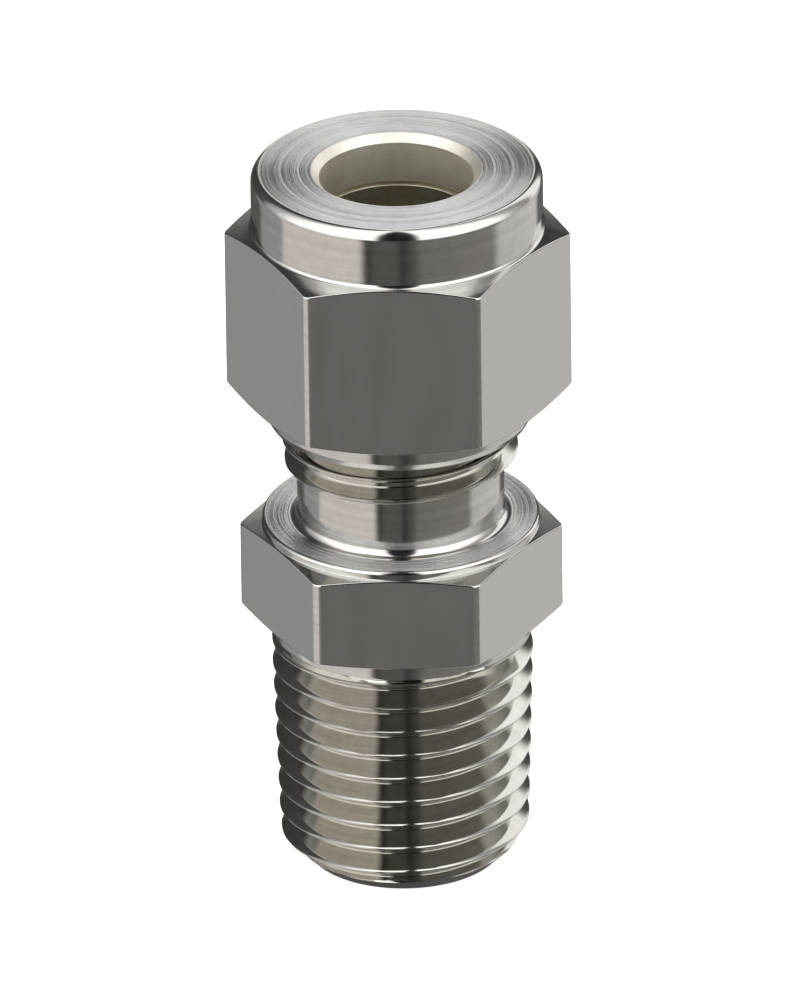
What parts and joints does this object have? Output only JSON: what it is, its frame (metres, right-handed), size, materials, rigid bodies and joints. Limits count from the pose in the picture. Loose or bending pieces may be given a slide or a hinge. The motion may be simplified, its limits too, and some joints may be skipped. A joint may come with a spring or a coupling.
{
  "type": "tube compression fitting",
  "caption": "Straight tube compression fitting with a collared hexagon nut, inner sealing rings and a male taper pipe thread.",
  "frame": {"origin": "centre of the end face of the male pipe thread, on the fitting's axis", "axes": "+Z runs along the fitting's axis from the pipe thread to the nut; the hexagons' flats face +Y and -Y"},
  "size_m": [0.0184, 0.016, 0.0401],
  "materials": {
    "body_steel": "bright turned stainless steel",
    "nut_steel": "bright turned stainless steel with satin drawn flats",
    "ring_steel": "fine turned stainless steel"
  },
  "bodies": {
    "fitting_body": {"fitting_body": "body_steel"},
    "rings": {"front_ring": "ring_steel", "back_ring": "ring_steel"},
    "nut": {"nut": "nut_steel"}
  },
  "joints": [
    {"name": "nut_turn", "type": "hinge", "parent": "fitting_body", "child": "rings", "pos_m": [0, 0, 0.0343], "axis": [0, 0, 1], "range_deg": [0, 2160]},
    {"name": "nut_travel", "type": "slide", "parent": "rings", "child": "nut", "axis": [0, 0, 1], "range_m": [0, 0.00762]}
  ],
  "couplings": [
    {"joint": "nut_travel", "follows": "nut_turn", "m_per_rad": 0.00020213}
  ]
}
